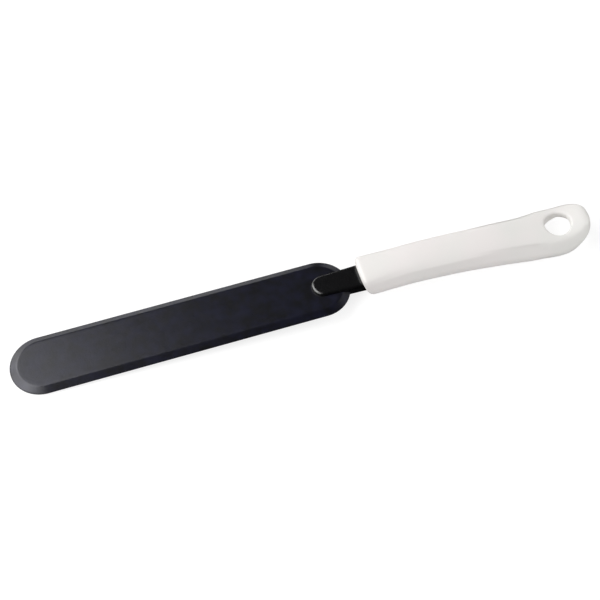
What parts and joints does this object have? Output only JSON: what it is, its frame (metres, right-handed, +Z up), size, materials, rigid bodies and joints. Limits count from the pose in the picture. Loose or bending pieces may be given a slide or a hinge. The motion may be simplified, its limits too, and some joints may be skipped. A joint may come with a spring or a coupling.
{
  "type": "flexible spatula",
  "caption": "Long flexible spatula with a round-ended bevelled blade, a dark shank with a rounded tab, and a drooping moulded handle with a round hanging hole.",
  "frame": {"origin": "on the surface the tool lies on, under the middle of its length and width", "axes": "+X from the blade to the handle, +Z up from the resting surface, Y across the tool"},
  "size_m": [0.3056, 0.0326, 0.0174],
  "materials": {
    "blade_nylon": "satin, finely mottled",
    "shank_nylon": "semi-gloss",
    "handle_shell": "pearly satin"
  },
  "bodies": {
    "root": {"shank": "shank_nylon", "handle": "handle_shell"},
    "blade": {"blade": "blade_nylon"}
  },
  "joints": [
    {"name": "blade_flex", "type": "hinge", "parent": "root", "child": "blade", "pos_m": [0.00211, 0, 0.00745], "axis": [0, 1, 0], "range_deg": [-20, 20], "stiffness_Nm_per_rad": 1, "deforming": ["blade"]}
  ]
}
